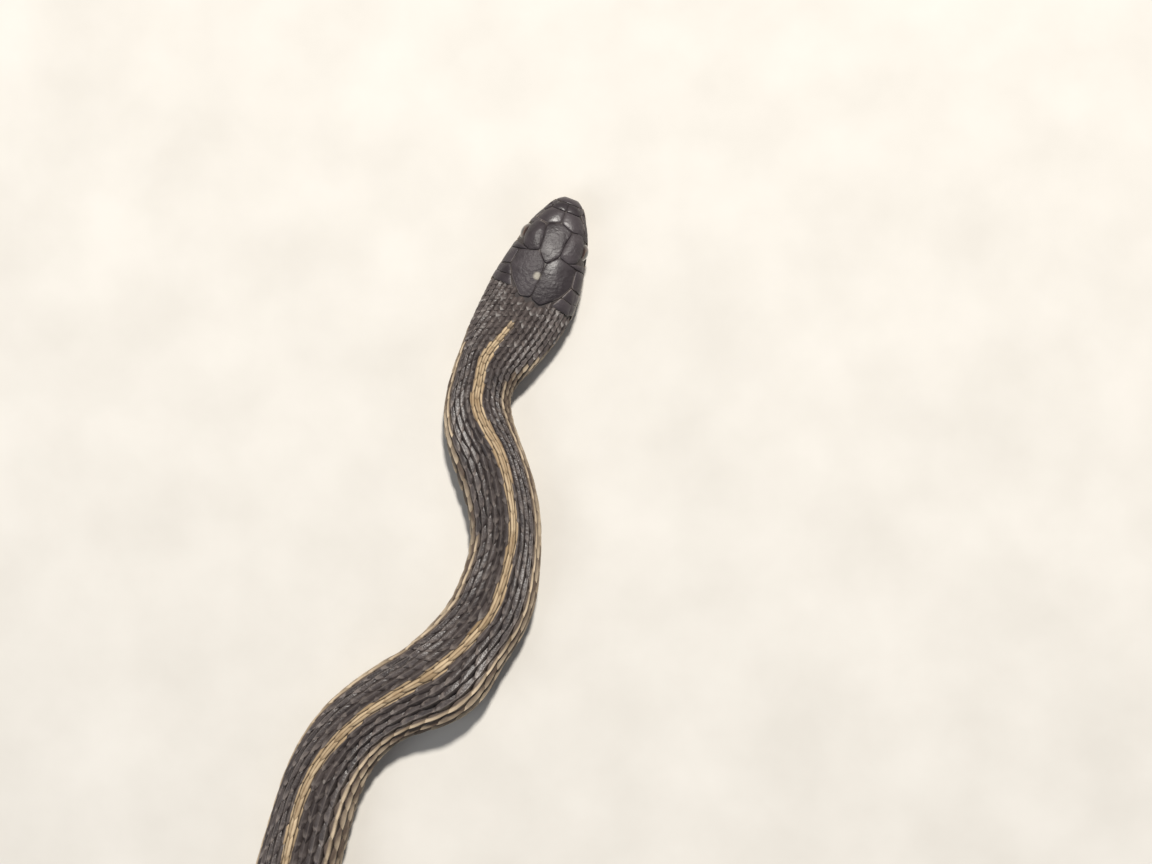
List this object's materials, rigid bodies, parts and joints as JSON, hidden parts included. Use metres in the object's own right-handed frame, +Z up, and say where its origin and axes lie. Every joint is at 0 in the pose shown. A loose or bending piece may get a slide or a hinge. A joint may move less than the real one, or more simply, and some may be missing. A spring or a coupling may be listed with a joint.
{
  "type": "garter snake",
  "caption": "Life-size still model of a garter snake, whole and lying in wide bends on its flat belly, head resting and mouth closed.",
  "frame": {"origin": "on the ground, under the middle of the whole animal's box", "axes": "+Z up from the ground, +Y toward the snout end, +X to the right as seen from above with the snout away from the viewer"},
  "size_m": [0.127, 0.292, 0.0136],
  "materials": {
    "head_plates": "smooth dark plates with a soft gloss",
    "pale_scales": "smooth pale tan to grey scales, soft gloss",
    "hide": "small keeled dark scales, with tan stripes along the back and sides",
    "eye": "wet gloss"
  },
  "bodies": {
    "root": {"head": "head_plates", "lower_jaw": "pale_scales", "eye_left": "eye", "eye_right": "eye", "neck": "hide", "trunk_1": "hide", "trunk_2": "hide", "trunk_3": "hide", "trunk_4": "hide", "trunk_5": "hide", "trunk_6": "hide", "tail_1": "hide", "tail_2": "hide"}
  },
  "joints": []
}
